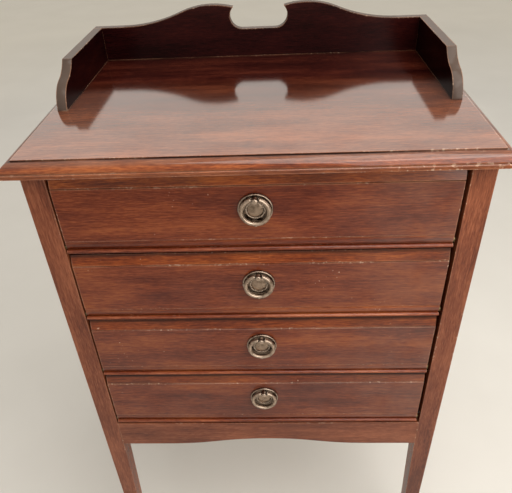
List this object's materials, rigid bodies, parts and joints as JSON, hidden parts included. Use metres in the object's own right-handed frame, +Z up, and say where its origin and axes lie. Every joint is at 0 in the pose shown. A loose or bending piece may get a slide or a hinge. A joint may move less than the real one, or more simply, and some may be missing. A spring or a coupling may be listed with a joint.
{
  "type": "music cabinet",
  "caption": "Wooden music cabinet on square tapered legs: moulded top inside a shaped gallery, over shallow drawers with fall fronts and ring pulls that hold sheet music.",
  "frame": {"origin": "middle of the cabinet's outer box, on the floor", "axes": "+Z up, +Y towards the back, +X to the right of someone facing the drawers"},
  "size_m": [0.53, 0.359, 0.8734],
  "materials": {
    "mahogany": "gloss polish",
    "dark_mahogany": "gloss polish",
    "drawer_wood": "plain sanded",
    "carcass_pine": "plain sanded",
    "antique_brass": "aged",
    "brass": "dull",
    "steel": "plain"
  },
  "bodies": {
    "carcass": {"top_board": "mahogany", "gallery_back": "dark_mahogany", "gallery_left_side": "dark_mahogany", "gallery_right_side": "dark_mahogany", "front_left_leg": "mahogany", "front_right_leg": "mahogany", "back_left_leg": "mahogany", "back_right_leg": "mahogany", "left_side_panel": "mahogany", "right_side_panel": "mahogany", "back_panel": "carcass_pine", "apron": "mahogany", "front_top_rail": "carcass_pine", "back_top_rail": "carcass_pine", "kickers": "carcass_pine", "drawer_runners": "carcass_pine", "drawer_stops": "carcass_pine"},
    "drawer_1": {"drawer_1_left_side": "drawer_wood", "drawer_1_right_side": "drawer_wood", "drawer_1_back": "drawer_wood", "drawer_1_bottom": "drawer_wood", "drawer_1_nosing": "mahogany", "drawer_1_pivot_plates": "brass"},
    "drawer_1_fall_front": {"drawer_1_front": "mahogany", "drawer_1_pull_plate": "antique_brass", "drawer_1_pull_bolt": "steel"},
    "drawer_1_ring": {"drawer_1_pull_ring": "antique_brass"},
    "drawer_2": {"drawer_2_left_side": "drawer_wood", "drawer_2_right_side": "drawer_wood", "drawer_2_back": "drawer_wood", "drawer_2_bottom": "drawer_wood", "drawer_2_nosing": "mahogany", "drawer_2_pivot_plates": "brass"},
    "drawer_2_fall_front": {"drawer_2_front": "mahogany", "drawer_2_pull_plate": "antique_brass", "drawer_2_pull_bolt": "steel"},
    "drawer_2_ring": {"drawer_2_pull_ring": "antique_brass"},
    "drawer_3": {"drawer_3_left_side": "drawer_wood", "drawer_3_right_side": "drawer_wood", "drawer_3_back": "drawer_wood", "drawer_3_bottom": "drawer_wood", "drawer_3_nosing": "mahogany", "drawer_3_pivot_plates": "brass"},
    "drawer_3_fall_front": {"drawer_3_front": "mahogany", "drawer_3_pull_plate": "antique_brass", "drawer_3_pull_bolt": "steel"},
    "drawer_3_ring": {"drawer_3_pull_ring": "antique_brass"},
    "drawer_4": {"drawer_4_left_side": "drawer_wood", "drawer_4_right_side": "drawer_wood", "drawer_4_back": "drawer_wood", "drawer_4_bottom": "drawer_wood", "drawer_4_nosing": "mahogany", "drawer_4_pivot_plates": "brass"},
    "drawer_4_fall_front": {"drawer_4_front": "mahogany", "drawer_4_pull_plate": "antique_brass", "drawer_4_pull_bolt": "steel"},
    "drawer_4_ring": {"drawer_4_pull_ring": "antique_brass"}
  },
  "joints": [
    {"name": "drawer_1_slide", "type": "slide", "parent": "carcass", "child": "drawer_1", "axis": [0, -1, 0], "range_m": [0, 0.24]},
    {"name": "drawer_1_fall", "type": "hinge", "parent": "drawer_1", "child": "drawer_1_fall_front", "pos_m": [0, -0.16075, 0.686], "axis": [1, 0, 0], "range_deg": [0, 90]},
    {"name": "drawer_1_ring_swing", "type": "hinge", "parent": "drawer_1_fall_front", "child": "drawer_1_ring", "pos_m": [-0.0012, -0.1709, 0.7478], "axis": [-1, 0, 0], "range_deg": [0, 90]},
    {"name": "drawer_2_slide", "type": "slide", "parent": "carcass", "child": "drawer_2", "axis": [0, -1, 0], "range_m": [0, 0.24]},
    {"name": "drawer_2_fall", "type": "hinge", "parent": "drawer_2", "child": "drawer_2_fall_front", "pos_m": [0, -0.16075, 0.5814], "axis": [1, 0, 0], "range_deg": [0, 90]},
    {"name": "drawer_2_ring_swing", "type": "hinge", "parent": "drawer_2_fall_front", "child": "drawer_2_ring", "pos_m": [-0.0012, -0.1709, 0.6432], "axis": [-1, 0, 0], "range_deg": [0, 90]},
    {"name": "drawer_3_slide", "type": "slide", "parent": "carcass", "child": "drawer_3", "axis": [0, -1, 0], "range_m": [0, 0.24]},
    {"name": "drawer_3_fall", "type": "hinge", "parent": "drawer_3", "child": "drawer_3_fall_front", "pos_m": [0, -0.16075, 0.4768], "axis": [1, 0, 0], "range_deg": [0, 90]},
    {"name": "drawer_3_ring_swing", "type": "hinge", "parent": "drawer_3_fall_front", "child": "drawer_3_ring", "pos_m": [-0.0012, -0.1709, 0.5386], "axis": [-1, 0, 0], "range_deg": [0, 90]},
    {"name": "drawer_4_slide", "type": "slide", "parent": "carcass", "child": "drawer_4", "axis": [0, -1, 0], "range_m": [0, 0.24]},
    {"name": "drawer_4_fall", "type": "hinge", "parent": "drawer_4", "child": "drawer_4_fall_front", "pos_m": [0, -0.16075, 0.3722], "axis": [1, 0, 0], "range_deg": [0, 90]},
    {"name": "drawer_4_ring_swing", "type": "hinge", "parent": "drawer_4_fall_front", "child": "drawer_4_ring", "pos_m": [-0.0012, -0.1709, 0.434], "axis": [-1, 0, 0], "range_deg": [0, 90]}
  ]
}
